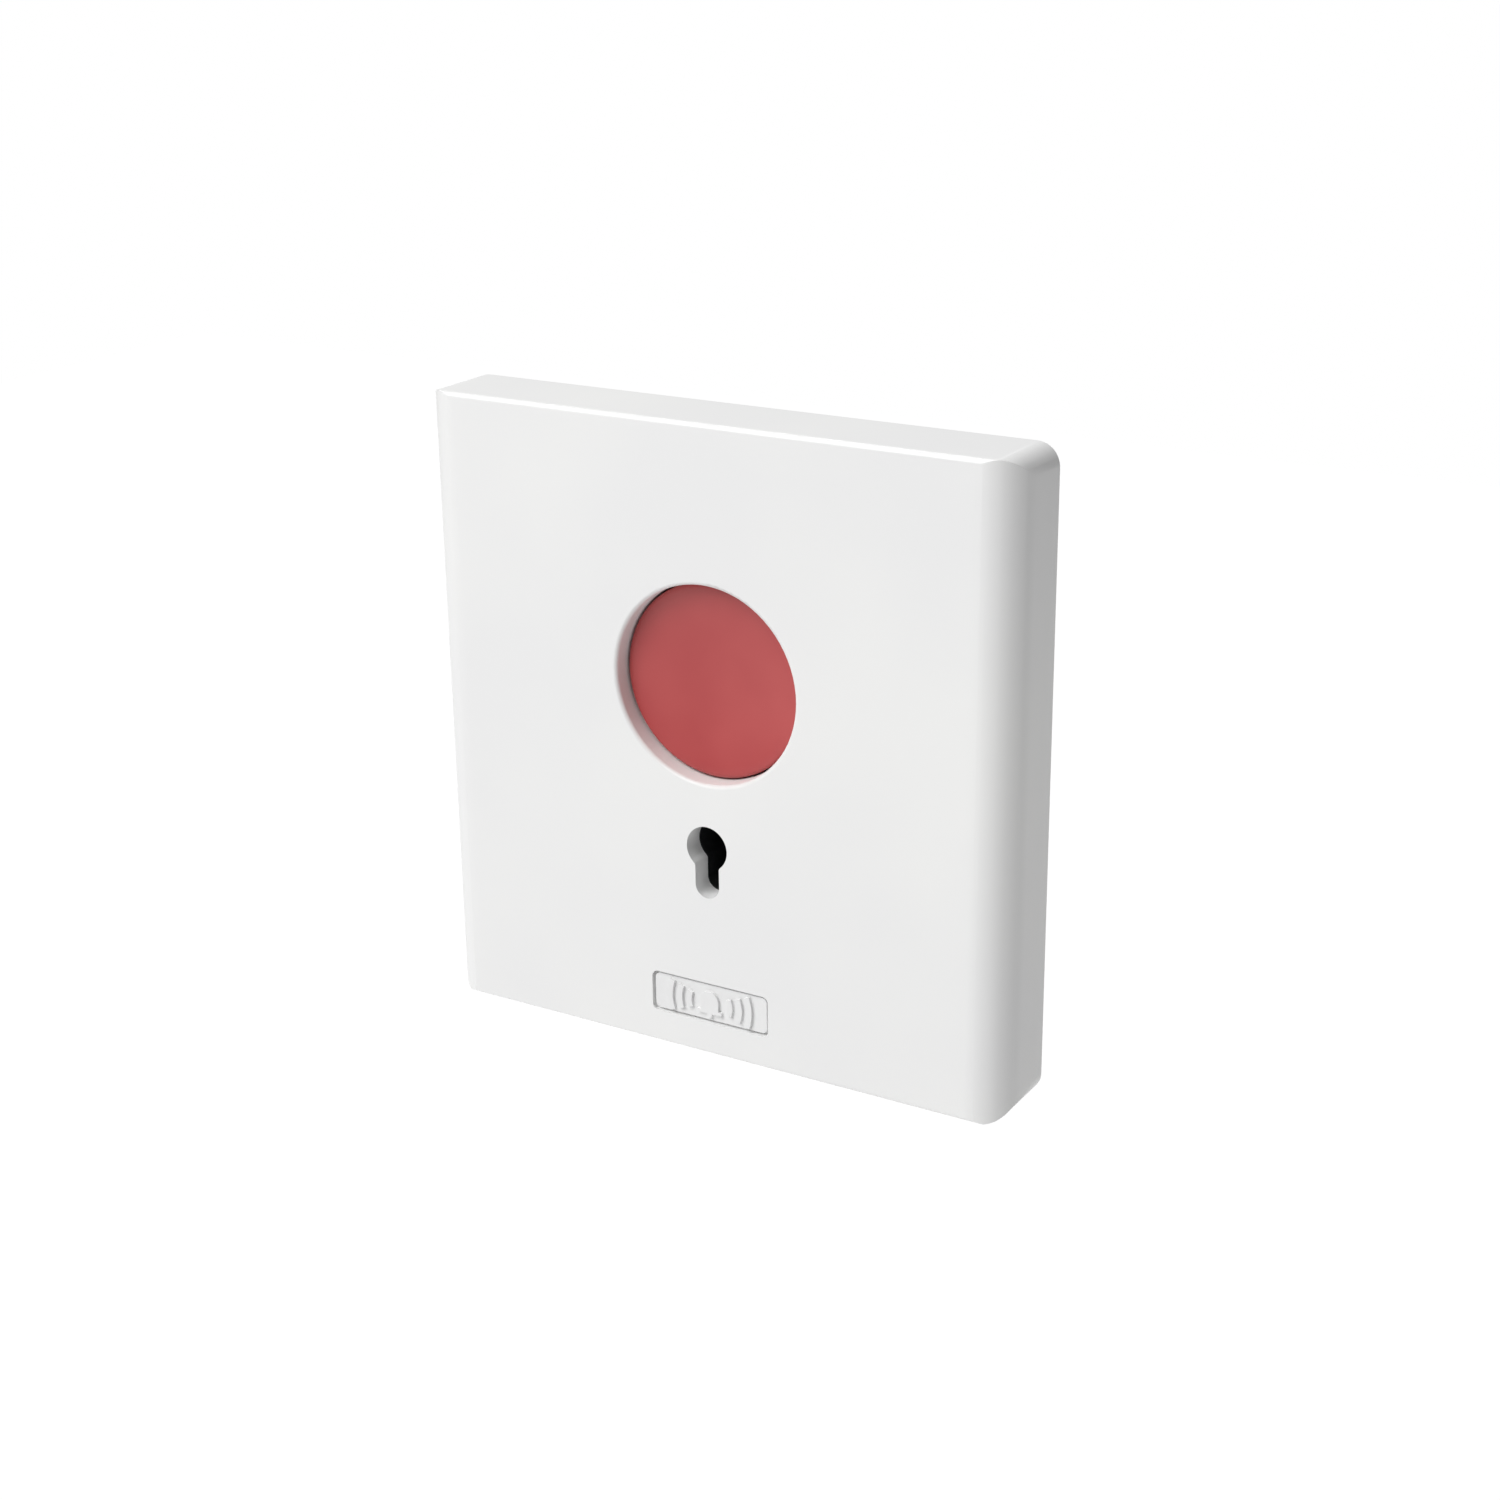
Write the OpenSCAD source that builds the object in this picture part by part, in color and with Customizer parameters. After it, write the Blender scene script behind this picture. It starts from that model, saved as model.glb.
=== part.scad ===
// Manual call point: a square wall plate with a recessed red push button, a key-operated reset and a
// change-over contact behind it. X runs to the right, Y into the wall and Z up. The origin is the middle
// of the plate, on the wall plane.

/* [Plate] */
// Width of the plate
plate_w = 86; // [82:1:104]
// Height of the plate
plate_h = 86; // [82:1:104]
// Depth from the wall to the front face
plate_d = 12; // [11:0.5:15]
// Radius of the rolled left and right front edges
roll_r = 5.4; // [3:0.2:6.4]
// Radius of the plate's corners, seen from the front
corner_r = 3; // [2:0.5:5]
// Small rounding of the top and bottom front edges
edge_r = 0.8; // [0.3:0.1:1.5]
// Thickness of the cover's front
face_t = 2.5; // [2:0.1:3]
// Thickness of the cover's side walls
side_t = 2.2; // [1.6:0.1:2.8]
// Gap between the cover's back edge and the wall
wall_gap = 0.3; // [0.1:0.1:0.8]

/* [Button] */
// Radius of the round opening for the button
aperture_r = 13.3; // [11:0.1:14.5]
// Height of the button's centre above the plate's centre
button_z = 9; // [7:0.5:12]
// How far the button's face lies behind the front
button_recess = 2.4; // [1.6:0.1:4]
// How far the button travels when pressed
travel = 3.2; // [2:0.1:3.6]
// Gap between the button and the opening
button_gap = 0.25; // [0.2:0.05:0.8]
// Depth of the hollow in the button's face
dish_depth = 0.5; // [0.1:0.1:1]
// Radius of the plunger
plunger_r = 3; // [2.4:0.1:3.6]
// Radius of the plunger's thin end, which the moving contact rests on
plunger_tip_r = 1.95; // [1.4:0.05:2.2]
// Radial clearance of the plunger and of the rotor in their bearings
run_gap = 0.08; // [0.03:0.01:0.1]

/* [Key reset] */
// Depth of the key's centre below the plate's centre
key_z = 13.2; // [12:0.2:16]
// Radius of the round part of the keyhole
key_r = 3.05; // [2.4:0.05:3.6]
// Width of the keyhole's slot
key_slot_w = 3.6; // [2.4:0.1:3.8]
// Distance from the key's centre to the slot's end
key_reach = 7; // [5.6:0.2:7.6]
// Thickness of the plate around the keyhole
key_wall = 3.1; // [2.8:0.1:4]
// How far the key turns
key_turn = 40; // [25:1:45]
// Distance from the rotor's centre to its crank pin
crank_r = 3.6; // [3:0.1:4]
// Radius of the crank pin
crank_pin_r = 1; // [0.7:0.1:1.2]

/* [Emblem] */
// Width of the emblem's recess
emblem_w = 18; // [12:0.5:24]
// Height of the emblem's recess
emblem_h = 5.8; // [4:0.2:8]
// Distance of the emblem's centre below the plate's centre
emblem_z = 35.4; // [33:0.2:36]
// Depth of the emblem's recess
emblem_t = 0.8; // [0.5:0.1:1.2]

/* [Wall frame] */
// Thickness of the wall frame
frame_t = 2.5; // [2:0.1:3]
// Distance between the two wall screws
wall_spacing = 60; // [58:0.1:62]
// Width of a wall screw's slot
wall_slot_w = 4.4; // [3.6:0.1:5]
// Length of a wall screw's slot, end to end
wall_slot_l = 9; // [7:0.5:10]

/* [Mechanism box] */
// Width of the mechanism's box
box_w = 41; // [40:0.5:42]
// Height of the mechanism's box
box_h = 54; // [53:0.5:58]
// Thickness of the box's walls
box_t = 1.6; // [1.2:0.1:2]
// Thickness of the box's front flange
flange_t = 2; // [1.5:0.1:2.4]
// How far the flange stands out at the sides
flange_side = 3.5; // [2:0.1:3.6]
// How far the flange stands out at the top and bottom
flange_end = 4.6; // [4:0.1:6]
// Depth of the box's partition behind the wall plane
partition_y = 2; // [1.5:0.1:3]
// Thickness of the partition
partition_t = 1.2; // [1:0.1:1.6]
// Thickness of the rear cover
rear_t = 2; // [1.6:0.1:2.4]

/* [Contacts and terminals] */
// Distance between terminals
terminal_pitch = 11; // [10:0.5:11.5]
// Thickness of the contact strips
strip_t = 0.5; // [0.3:0.1:0.8]
// Width of the contact strips
strip_w = 3.2; // [2.6:0.1:3.4]
// Thickness of the moving contact's leaf
leaf_t = 0.3; // [0.2:0.05:0.4]
// Thickness of the latch plate
latch_t = 1.1; // [0.8:0.1:1.4]

/* [Hidden] */
$fn = 96;
slop = 0.01;

// Named clearances
fit_gap = 0.3;
snug_gap = 0.05;
touch_gap = 0.1;

// Cover
front_y = -plate_d;
back_y = -wall_gap;
inner_w = plate_w - 2 * side_t;
inner_h = plate_h - 2 * side_t;
inner_roll_r = roll_r - side_t;
inner_corner_r = max(corner_r - side_t, 0.4);
inner_y = front_y + face_t;
collar_t = 1.2;
collar_y = front_y + 6;
lip_r = 0.55;
key_boss_r = key_r + 2.5;
key_boss_y = front_y + key_wall;
rib_t = 1;
rib_h = 1.2;

// Snap tongues that hold the cover on the frame
tongue_x = plate_w * 0.28;
tongue_w = 12;
tongue_t = 1.2;
tongue_gap = 0.6;
tongue_len = 5;
barb_h = 0.45;
barb_len = 1.3;
ledge_h = 0.5;
ledge_len = 1.2;
ledge_gap = 0.2;
tongue_top = inner_h / 2 - tongue_gap;
tongue_y = -frame_t - tongue_len;
ledge_y = tongue_y + barb_len + ledge_gap;
pry_w = 10;
pry_len = 1.3;

// Frame
frame_w = inner_w - 2 * fit_gap;
frame_h = inner_h - 2 * fit_gap;
frame_corner_r = 1.5;
window_gap = 0.5;
head_recess_t = 0.8;
head_recess_w = wall_slot_w + 4.4;
head_recess_l = wall_slot_l + 1.6;
frame_rib_w = 1.2;
frame_rib_h = 1.6;

// Button
cap_r = aperture_r - button_gap;
cap_y = front_y + button_recess;
cap_t = 1.9;
cap_wall = 1.6;
cap_back = cap_y + 4.9;
cap_edge = 0.5;
dish_r = cap_r - 0.9;
dish_steps = 8;
socket_wall = 1.6;
peg_r = plunger_r + 0.4;
peg_y = cap_y + cap_t + 0.3;
seat_y = peg_y + 3.4;
seat_t = 0.8;
seat_r = peg_r + socket_wall + 0.3;
tube_r = aperture_r - 0.1;
tube_t = 1.5;
tube_y = collar_y + 0.2;

// Layers behind the partition
layer_y = partition_y + partition_t;
clip_t = 0.5;
clip_y = layer_y + touch_gap;
clip_r = plunger_r + 1.8;
clip_groove_r = plunger_r - 0.8;
rotor_y = layer_y + fit_gap;
rotor_back = rotor_y + 3.1;
rotor_pocket_back = rotor_back - 0.7;
latch_y = rotor_back + 1.4;
latch_back = latch_y + latch_t;
groove_gap = 0.2;
groove_y = latch_y - travel - groove_gap;
groove_back = latch_back - travel + groove_gap;
groove_r = plunger_r - 1.2;
taper_y = latch_back + fit_gap;
taper_back = taper_y + travel;
taper_h = plunger_r - plunger_tip_r;
tip_y = taper_back + 0.6;
rear_y = taper_back + 1.8;
rear_back = rear_y + rear_t;
tip_pocket_back = tip_y + travel + fit_gap;
tip_pocket_r = plunger_r + 0.3;
tip_boss_r = tip_pocket_r + 1.4;
tip_boss_back = max(tip_pocket_back + 1.2, rear_back + 0.6);

// Rotor
rotor_r = key_reach + 1.4;
pocket_gap = 0.2;
ring_t = 1.2;
ring_back = rotor_back - 0.4;
hub_r = 2;
hub_boss_r = 4;
hub_boss_y = latch_back + 0.5;
hub_back = rear_y - 1.9;
crank_pin_back = latch_back + 0.2;
key_guide_y = key_boss_y + fit_gap;
key_guide_wall = 1.6;
key_blend = 0.6;

// Latch plate
latch_travel = crank_r * key_turn * PI / 180;
latch_half_w = 6.5;
latch_top = button_z + plunger_r + latch_travel + 3;
latch_bottom = -key_z - 6;
latch_peg_w = 1.8;
latch_peg_l = 1.8;
latch_window_w = 2 * plunger_r + 1.2;
rail_gap = 0.15;
rail_t = 1.3;
latch_spring_r = 1.5;
latch_wire = 0.4;
latch_spring_turns = 6;
latch_spring_y = latch_y + latch_t / 2;

// Button spring
button_spring_r = seat_r + 1.7;
button_wire = 0.8;
button_spring_turns = 4;
button_spring_y = cap_y + cap_t;

// Box
inner_box_w = box_w - 2 * box_t;
pad_w = 6.4;
pad_gap = 0.7;
box_height = max(box_h, 2 * (key_z + hub_boss_r + touch_gap + pad_w + pad_gap + box_t));
inner_box_h = box_height - 2 * box_t;
flange_y = -frame_t - flange_t;
box_boss_r = 2.2;
box_screw_x = inner_box_w / 2 - 1.3;
box_screw_z = inner_box_h / 2 - 1.2;
box_boss_y = layer_y + 3;
flange_screw_x = box_w / 2 - 3.5;
flange_screw_z = box_height / 2 + 2.4;
small_screw_r = 1;
small_head_r = 2.1;
small_head_h = 1.3;
head_gap = 0.25;
screw_hole_gap = 0.05;
screw_pass_gap = 0.3;
cross_w = 0.5;
cross_l = 2.4;
cross_t = 0.7;

// Contacts: positions across the box, in X and Z
leaf_x = -(plunger_tip_r + touch_gap + 1.6);
bump_r = 0.8;
leaf_width = 2.8;
leaf_y = taper_back - leaf_width * 0.6;
pivot_z = button_z + 13;
leaf_top = pivot_z + 1.6;
contact_z = button_z - 5.6;
leaf_bottom = contact_z - 1.6;
contact_r = 1.2;
contact_t = 0.55;
contact_shank_r = 0.6;
contact_y = leaf_y + leaf_width / 2;
leaf_angle = taper_h / (pivot_z - button_z);
contact_swing = leaf_angle * (pivot_z - contact_z);
closed_x = leaf_x + contact_t + snug_gap;
open_x = leaf_x - leaf_t - contact_t - contact_swing - touch_gap;
strip_y = rear_y - strip_t;
lug_y = leaf_y - 0.2;
lug_w = 3.6;
lug_z = contact_z - lug_w / 2;
stake_r = 0.7;
stake_head_r = 1.2;
stake_head_h = 0.5;

// Terminals
pad_t = 1.5;
pad_z = -inner_box_h / 2 + pad_w / 2 + pad_gap;
clamp_w = 7;
clamp_t = 0.8;
clamp_ear = 0.7;
terminal_screw_r = 1.45;
terminal_head_r = 2.7;
terminal_head_h = 1.8;
terminal_tip_y = strip_y - 2.1;
barrier_t = 1.4;
barrier_h = 4;
barrier_l = 9.4;
closed_run_x = hub_boss_r + 0.6;
common_run_x = terminal_pitch + 0.2;
common_run_z = pivot_z - 0.4;

// ---- Helpers -------------------------------------------------------------------------------------------

// Extrudes a shape drawn in X and Z along Y
module along_y(y0, y1) {
    translate([0, y1, 0])
        rotate([90, 0, 0])
            linear_extrude(height = y1 - y0)
                children();
}

module block(x0, x1, y0, y1, z0, z1) {
    translate([x0, y0, z0])
        cube([x1 - x0, y1 - y0, z1 - z0]);
}

module disc(x, z, r, y0, y1) {
    translate([x, y1, z])
        rotate([90, 0, 0])
            cylinder(h = y1 - y0, r = r);
}

// Turns a profile of [radius, y] points about a line along Y
module turned(x, z) {
    translate([x, 0, z])
        rotate([-90, 0, 0])
            rotate_extrude()
                children();
}

module rounded_square(w, h, r) {
    square([w - 2 * r, h], center = true);
    square([w, h - 2 * r], center = true);
    for (sx = [-1, 1], sz = [-1, 1])
        translate([sx * (w / 2 - r), sz * (h / 2 - r)])
            circle(r = r);
}

module slot_shape(l, w) {
    square([l - w, w], center = true);
    for (sx = [-1, 1])
        translate([sx * (l - w) / 2, 0])
            circle(d = w);
}

// Outline of a keyhole grown by a gap all round, with the key's centre at the origin
module keyhole_shape(gap) {
    half_w = key_slot_w / 2 + gap;
    slot_end = key_reach - key_slot_w / 2;
    blend_x = key_slot_w / 2 + key_blend;
    blend_z = sqrt(pow(key_r + key_blend, 2) - pow(blend_x, 2));
    share = (key_r + gap) / (key_r + key_blend);
    circle(r = key_r + gap);
    translate([-half_w, -slot_end])
        square([2 * half_w, slot_end]);
    translate([0, -slot_end])
        circle(r = half_w);
    difference() {
        polygon([
            [-share * blend_x, -share * blend_z],
            [share * blend_x, -share * blend_z],
            [half_w, -blend_z],
            [-half_w, -blend_z]
        ]);
        for (sx = [-1, 1])
            translate([sx * blend_x, -blend_z])
                circle(r = key_blend - gap);
    }
}

// The plate's outer form: corners from the front, rolled sides from above, small edges from the side
module plate_form(w, h, y0, y1, roll, corner, edge) {
    intersection() {
        along_y(y0, y1)
            rounded_square(w, h, corner);
        translate([0, 0, -h / 2])
            linear_extrude(height = h) {
                translate([-w / 2 + roll, y0])
                    square([w - 2 * roll, y1 - y0]);
                translate([-w / 2, y0 + roll])
                    square([w, y1 - y0 - roll]);
                for (sx = [-1, 1])
                    translate([sx * (w / 2 - roll), y0 + roll])
                        circle(r = roll);
            }
        rotate([90, 0, 90])
            translate([0, 0, -w / 2])
                linear_extrude(height = w) {
                    translate([y0, -h / 2 + edge])
                        square([y1 - y0, h - 2 * edge]);
                    translate([y0 + edge, -h / 2])
                        square([y1 - y0 - edge, h]);
                    for (sz = [-1, 1])
                        translate([y0 + edge, sz * (h / 2 - edge)])
                            circle(r = edge);
                }
    }
}

// A round wire wound along Z from z = 0, flattened at neither end
function coil_point(r, pitch, a) = [r * cos(a), r * sin(a), pitch * a / 360];

module coil(r, wire, length, turns) {
    steps = 14;
    sides = 8;
    rings = turns * steps;
    pitch = (length - wire) / turns;
    slope = atan(pitch / (2 * PI * r));
    points = [
        for (i = [0:rings])
            for (k = [0:sides - 1])
                let (a = i * 360 / steps)
                let (b = k * 360 / sides)
                let (across = wire / 2 * cos(b))
                let (up = wire / 2 * sin(b))
                let (c = coil_point(r + across, pitch, a))
                [c[0] + up * sin(slope) * sin(a), c[1] - up * sin(slope) * cos(a), c[2] + wire / 2 + up * cos(slope)]
    ];
    walls = [
        for (i = [0:rings - 1])
            for (k = [0:sides - 1])
                let (n = (k + 1) % sides)
                [i * sides + k, i * sides + n, (i + 1) * sides + n, (i + 1) * sides + k]
    ];
    first = [for (k = [sides - 1:-1:0]) k];
    last = [for (k = [0:sides - 1]) rings * sides + k];
    polyhedron(points = points, faces = concat([first], walls, [last]), convexity = 10);
}

// A pan-head screw along Y: the head's outer face looks towards -Y when side is -1 and +Y when side is 1
module pan_screw(x, z, seat, side, shank_r, length, head_r, head_h) {
    translate([x, seat, z])
        scale([1, side, 1])
            rotate([-90, 0, 0])
                difference() {
                    rotate_extrude()
                        polygon([
                            [0, -length],
                            [shank_r - 0.3, -length],
                            [shank_r, -length + 0.5],
                            [shank_r, 0],
                            [head_r, 0],
                            [head_r, head_h * 0.5],
                            [head_r * 0.75, head_h * 0.9],
                            [head_r * 0.4, head_h],
                            [0, head_h]
                        ]);
                    for (turn = [0, 90])
                        rotate([0, 0, turn])
                            translate([-cross_l / 2, -cross_w / 2, head_h - cross_t])
                                cube([cross_l, cross_w, cross_t + slop]);
                }
}

// ---- Outside -------------------------------------------------------------------------------------------

module cover_shell() {
    difference() {
        plate_form(plate_w, plate_h, front_y, back_y, roll_r, corner_r, edge_r);
        plate_form(inner_w, inner_h, inner_y, back_y + 1, inner_roll_r, inner_corner_r, inner_corner_r);
    }
}

module front_cover() {
    color("#efefef")
        difference() {
            union() {
                cover_shell();
                disc(0, button_z, aperture_r + collar_t, inner_y - slop, collar_y);
                along_y(inner_y - slop, key_boss_y)
                    for (drop = [0, key_reach - key_slot_w])
                        translate([0, -key_z - drop])
                            circle(r = key_boss_r);
                for (sz = [-1, 1])
                    block(-inner_w / 2 - slop, inner_w / 2 + slop, inner_y - slop, inner_y + rib_h,
                          sz * inner_h * 0.4 - rib_t / 2, sz * inner_h * 0.4 + rib_t / 2);
                for (sx = [-1, 1], sz = [-1, 1])
                    block(sx * tongue_x - tongue_w / 2, sx * tongue_x + tongue_w / 2, ledge_y, ledge_y + ledge_len,
                          sz * inner_h / 2 - (sz > 0 ? ledge_h : slop), sz * inner_h / 2 + (sz > 0 ? slop : ledge_h));
            }
            disc(0, button_z, aperture_r, front_y - 1, collar_y + 1);
            turned(0, button_z)
                difference() {
                    translate([aperture_r - 1, front_y - 1])
                        square([lip_r + 1, lip_r + 1]);
                    translate([aperture_r + lip_r, front_y + lip_r])
                        circle(r = lip_r);
                }
            along_y(front_y - 1, key_boss_y + 1)
                translate([0, -key_z])
                    keyhole_shape(0);
            along_y(front_y - 1, front_y + emblem_t)
                translate([0, -emblem_z])
                    rounded_square(emblem_w, emblem_h, 0.9);
            block(-pry_w / 2, pry_w / 2, back_y - pry_len, back_y + 1, -plate_h / 2 - 1, -inner_h / 2 + slop);
        }
}

// A bell with a sound arc on each side
module bell_shape() {
    bell_h = emblem_h * 0.68;
    bell_w = bell_h * 0.7;
    translate([0, bell_h * 0.08])
        circle(d = bell_w);
    translate([-bell_w / 2, -bell_h * 0.28])
        square([bell_w, bell_h * 0.36]);
    translate([-bell_w * 0.68, -bell_h * 0.38])
        square([bell_w * 1.36, bell_h * 0.12]);
    translate([0, -bell_h * 0.42])
        circle(d = bell_h * 0.2);
    for (side = [-1, 1], arc_r = [bell_h * 0.8, bell_h * 1.18, bell_h * 1.56])
        intersection() {
            difference() {
                circle(r = arc_r + bell_h * 0.1);
                circle(r = arc_r - bell_h * 0.1);
            }
            scale([side, 1])
                polygon([[0, 0], [bell_h * 2, bell_h * 0.75], [bell_h * 2, -bell_h * 0.75]]);
        }
}

module emblem_plate() {
    emblem_gap = 0.35;
    emblem_sunk = 0.3;
    emblem_raise = 0.4;
    color("#e8e8e8") {
        along_y(front_y + emblem_sunk, front_y + emblem_t)
            translate([0, -emblem_z])
                rounded_square(emblem_w - 2 * emblem_gap, emblem_h - 2 * emblem_gap, 0.75);
        along_y(front_y + emblem_sunk - emblem_raise, front_y + emblem_sunk + slop)
            translate([0, -emblem_z])
                bell_shape();
    }
}

module mounting_frame() {
    color("#e4e4e2")
        difference() {
            union() {
                along_y(-frame_t, 0)
                    rounded_square(frame_w, frame_h, frame_corner_r);
                for (sx = [-1, 1])
                    block(sx * (frame_w / 2 - 2.4) - frame_rib_w / 2, sx * (frame_w / 2 - 2.4) + frame_rib_w / 2,
                          -frame_t - frame_rib_h, -frame_t + slop, -frame_h / 2 + 6, frame_h / 2 - 6);
                for (sx = [-1, 1], sz = [-1, 1])
                    snap_tongue(sx * tongue_x, sz);
            }
            along_y(-frame_t - 1, 1)
                square([box_w + 2 * window_gap, box_height + 2 * window_gap], center = true);
            for (sx = [-1, 1]) {
                along_y(-frame_t - 1, 1)
                    translate([sx * wall_spacing / 2, 0])
                        slot_shape(wall_slot_l, wall_slot_w);
                along_y(-frame_t - 1, -frame_t + head_recess_t)
                    translate([sx * wall_spacing / 2, 0])
                        slot_shape(head_recess_l, head_recess_w);
            }
            for (sx = [-1, 1], sz = [-1, 1])
                disc(sx * flange_screw_x, sz * flange_screw_z, small_screw_r + screw_hole_gap, -frame_t - 1, 1);
        }
}

// A tongue on the frame with a barb that looks outwards, at the top (side 1) or the bottom (side -1)
module snap_tongue(x, side) {
    translate([x - tongue_w / 2, 0, 0])
        scale([1, 1, side])
            rotate([90, 0, 90])
                linear_extrude(height = tongue_w)
                    polygon([
                        [-frame_t + slop, tongue_top - tongue_t],
                        [tongue_y, tongue_top - tongue_t],
                        [tongue_y, tongue_top],
                        [tongue_y + barb_len, tongue_top + barb_h],
                        [tongue_y + barb_len, tongue_top],
                        [-frame_t + slop, tongue_top]
                    ]);
}

// ---- Button --------------------------------------------------------------------------------------------

// The hollow of the button's face, from its middle to its rim, as [radius, y] points
function dish_points() = [
    for (i = [0:dish_steps])
        let (share = i / dish_steps)
        [dish_r * share, cap_y + dish_depth * (1 - share * share)]
];

module button_cap() {
    color("#b4383c")
        turned(0, button_z)
            polygon(concat(dish_points(), [
                [cap_r - cap_edge, cap_y],
                [cap_r - cap_edge * 0.3, cap_y + cap_edge * 0.3],
                [cap_r, cap_y + cap_edge],
                [cap_r, cap_back],
                [cap_r - cap_wall, cap_back],
                [cap_r - cap_wall, cap_y + cap_t],
                [peg_r + socket_wall, cap_y + cap_t],
                [peg_r + socket_wall, seat_y - snug_gap],
                [peg_r + snug_gap, seat_y - snug_gap],
                [peg_r + snug_gap, cap_y + cap_t],
                [0, cap_y + cap_t]
            ]));
}

module button_plunger() {
    color("#2b2b2d")
        turned(0, button_z)
            polygon([
                [0, peg_y],
                [peg_r - 0.4, peg_y],
                [peg_r, peg_y + 0.4],
                [peg_r, seat_y],
                [seat_r, seat_y],
                [seat_r, seat_y + seat_t],
                [plunger_r, seat_y + seat_t],
                [plunger_r, clip_y],
                [clip_groove_r, clip_y],
                [clip_groove_r, clip_y + clip_t + snug_gap],
                [plunger_r, clip_y + clip_t + snug_gap],
                [plunger_r, groove_y],
                [groove_r, groove_y],
                [groove_r, groove_back],
                [plunger_r, groove_back],
                [plunger_r, taper_y],
                [plunger_tip_r, taper_back],
                [plunger_tip_r, tip_y - 0.4],
                [plunger_tip_r - 0.4, tip_y],
                [0, tip_y]
            ]);
}

module button_spring() {
    color("#b9bcc0")
        translate([0, button_spring_y, button_z])
            rotate([-90, 0, 0])
                coil(button_spring_r, button_wire, partition_y - button_spring_y, button_spring_turns);
}

module plunger_clip() {
    opening = 2 * clip_groove_r * 0.8;
    color("#9a9da2")
        along_y(clip_y + snug_gap / 2, clip_y + snug_gap / 2 + clip_t)
            translate([0, button_z])
                difference() {
                    circle(r = clip_r);
                    circle(r = clip_groove_r + snug_gap / 2);
                    translate([-opening / 2, 0])
                        square([opening, clip_r + 1]);
                    for (side = [-1, 1])
                        rotate(side * 108)
                            translate([0, clip_groove_r + 0.9])
                                circle(d = 1.4);
                }
}

// ---- Mechanism box -------------------------------------------------------------------------------------

module at_box_screws() {
    for (sx = [-1, 1], sz = [-1, 1])
        translate([sx * box_screw_x, 0, sz * box_screw_z])
            children();
}

module mechanism_housing() {
    color("#2d2e30")
        difference() {
            union() {
                housing_shell();
                disc(0, button_z, tube_r + tube_t, tube_y, partition_y + slop);
                along_y(key_guide_y, partition_y + slop)
                    key_guide_outline();
                disc(0, -key_z, rotor_r + run_gap + ring_t, layer_y - slop, ring_back);
                at_box_screws()
                    disc(0, 0, box_boss_r, box_boss_y, rear_y);
                for (sx = [-1, 1], z0 = [button_z - 11.5, latch_top - 2.5])
                    latch_rail(sx, z0, min(4.5, latch_top - z0 + 1));
            }
            disc(0, button_z, tube_r, tube_y - 1, partition_y);
            disc(0, button_z, plunger_r + run_gap, partition_y - 1, layer_y + 1);
            along_y(key_guide_y - 1, layer_y + 1)
                translate([0, -key_z])
                    keyhole_shape(pocket_gap);
            disc(0, -key_z, rotor_r + run_gap, layer_y, ring_back + 1);
            at_box_screws()
                disc(0, 0, small_screw_r + screw_hole_gap, box_boss_y + 1.4, rear_y + 1);
            for (sx = [-1, 1], sz = [-1, 1])
                disc(sx * flange_screw_x, sz * flange_screw_z, small_screw_r + screw_pass_gap, flange_y - 1, 0);
        }
}

module housing_shell() {
    along_y(flange_y, -frame_t)
        rounded_square(box_w + 2 * flange_side, box_height + 2 * flange_end, 2);
    difference() {
        along_y(-frame_t - slop, rear_y)
            rounded_square(box_w, box_height, 1.5);
        along_y(-frame_t, partition_y)
            square([inner_box_w, inner_box_h], center = true);
        along_y(layer_y, rear_y + 1)
            square([inner_box_w, inner_box_h], center = true);
    }
}

module key_guide_outline() {
    guide_r = key_r + pocket_gap + key_guide_wall;
    guide_half_w = key_slot_w / 2 + pocket_gap + key_guide_wall;
    guide_drop = key_reach + pocket_gap + key_guide_wall;
    translate([0, -key_z])
        circle(r = guide_r);
    translate([-guide_half_w, -key_z - guide_drop])
        square([2 * guide_half_w, guide_drop]);
}

// One of the four blocks that the latch plate slides between
module latch_rail(side, z0, length) {
    near = latch_half_w + rail_gap;
    x0 = side > 0 ? near : -near - rail_t;
    block(x0, x0 + rail_t, layer_y - slop, latch_back + 0.3, z0, z0 + length);
}

module housing_screws() {
    color("#8f9296")
        for (sx = [-1, 1], sz = [-1, 1])
            pan_screw(sx * flange_screw_x, sz * flange_screw_z, flange_y, -1, small_screw_r,
                      frame_t + flange_t - 0.4, small_head_r, small_head_h);
}

// ---- Key reset -----------------------------------------------------------------------------------------

module key_rotor() {
    color("#1f1f21")
        difference() {
            union() {
                disc(0, -key_z, rotor_r, rotor_y, rotor_back);
                disc(0, -key_z, hub_r, rotor_back - slop, hub_back - fit_gap);
                disc(crank_r, -key_z, crank_pin_r, rotor_back - slop, crank_pin_back);
            }
            along_y(rotor_y - 1, rotor_pocket_back)
                translate([0, -key_z])
                    keyhole_shape(pocket_gap);
        }
}

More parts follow.
